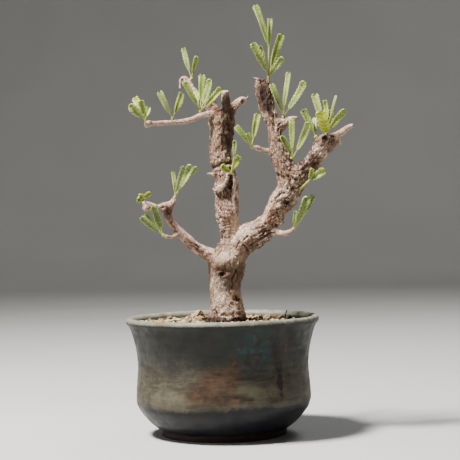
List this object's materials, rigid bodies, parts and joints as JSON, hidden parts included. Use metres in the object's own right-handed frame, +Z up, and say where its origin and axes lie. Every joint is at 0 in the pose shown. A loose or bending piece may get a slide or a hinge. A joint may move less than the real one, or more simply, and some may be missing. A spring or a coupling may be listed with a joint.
{
  "type": "potted senna meridionalis",
  "caption": "Young tree-form senna with a forked flaky trunk, stubs, twigs and small leafy sprays, growing in granular soil in a round glazed stoneware pot with a rolled lip and foot ring.",
  "frame": {"origin": "on the surface that the pot stands on, below the middle of the whole object's box; the pot's axis is about 10.8 mm to -X of it", "axes": "+Z up, +X to the right and +Y away as the picture sees the tree"},
  "size_m": [0.1416, 0.12, 0.2649],
  "materials": {
    "stoneware": "dark grey-green glaze with rust-brown and beige patches, satin",
    "drain_mesh": "matte",
    "soil": "dry tan and brown grains",
    "bark": "pinkish grey-brown, flaky, with dark fissures",
    "leaf": "pale grey-green, satin, with yellow-green stalks"
  },
  "bodies": {
    "root": {"pot": "stoneware", "drain_mesh": "drain_mesh", "soil": "soil", "trunk": "bark", "spray_01": "leaf", "spray_02": "leaf", "spray_03": "leaf", "spray_04": "leaf", "spray_05": "leaf", "spray_06": "leaf", "spray_07": "leaf", "spray_08": "leaf", "spray_09": "leaf", "spray_10": "leaf", "spray_11": "leaf", "spray_12": "leaf", "spray_13": "leaf", "spray_14": "leaf", "spray_15": "leaf", "spray_16": "leaf"}
  },
  "joints": []
}
